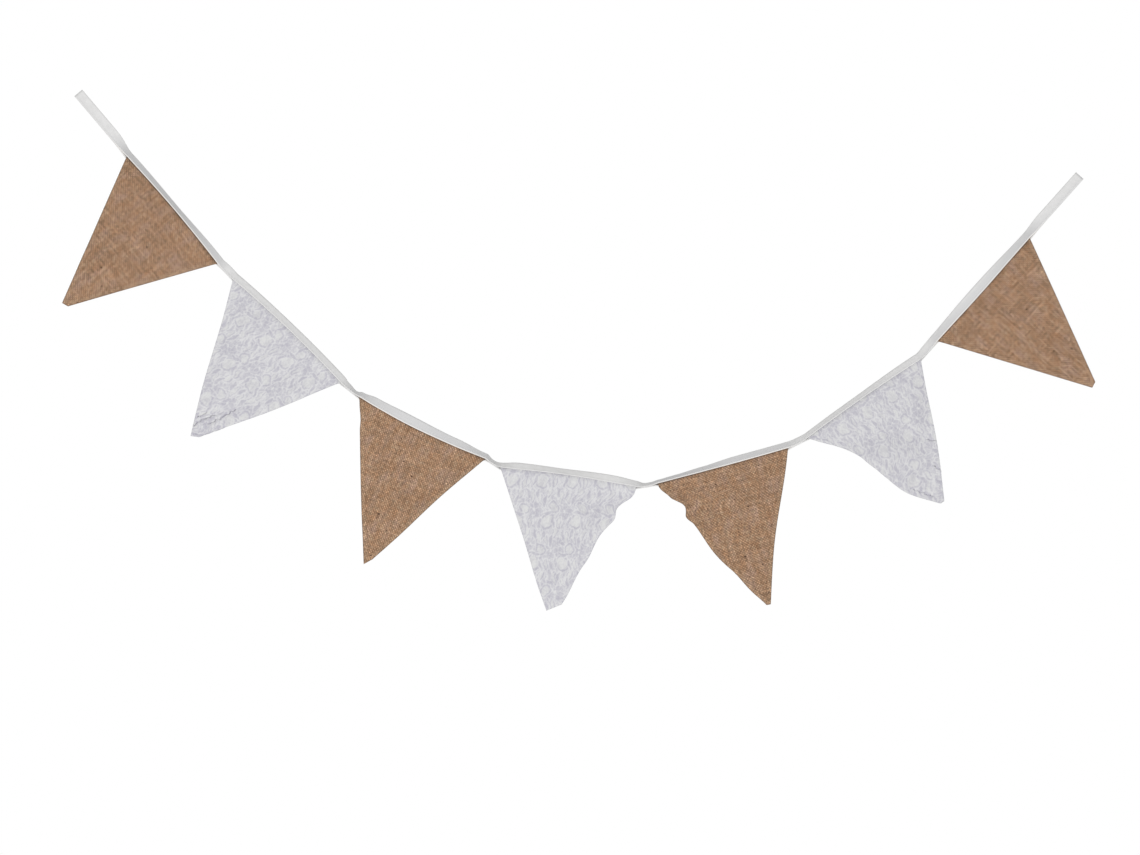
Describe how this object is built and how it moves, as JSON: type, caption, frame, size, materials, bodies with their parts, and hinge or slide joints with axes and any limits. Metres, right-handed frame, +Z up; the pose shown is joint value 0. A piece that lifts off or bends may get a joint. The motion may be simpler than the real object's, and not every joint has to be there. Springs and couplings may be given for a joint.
{
  "type": "pennant bunting",
  "caption": "Hanging garland of hessian and lace triangular pennants, their top edges sewn into one folded white tape that sags in a shallow swag.",
  "frame": {"origin": "the tape's fold at its left cut end, where the bunting is held", "axes": "+X along the swag to the right, +Z up, the pennants' faces look along -Y"},
  "size_m": [1.2899, 0.0317, 0.6506],
  "materials": {
    "tape": "white cotton binding, matt",
    "hessian": "natural jute plain weave, coarse and matt",
    "lace": "white floral lace with a faint cool tint",
    "cotton": "plain white cotton, matt"
  },
  "bodies": {
    "root": {"tape": "tape", "hessian_pennant_1": "hessian", "hessian_pennant_3": "hessian", "hessian_pennant_5": "hessian", "hessian_pennant_7": "hessian", "lace_pennant_2": "lace", "lace_pennant_4": "lace", "lace_pennant_6": "lace", "cotton_backing_2": "cotton", "cotton_backing_4": "cotton", "cotton_backing_6": "cotton"}
  },
  "joints": []
}
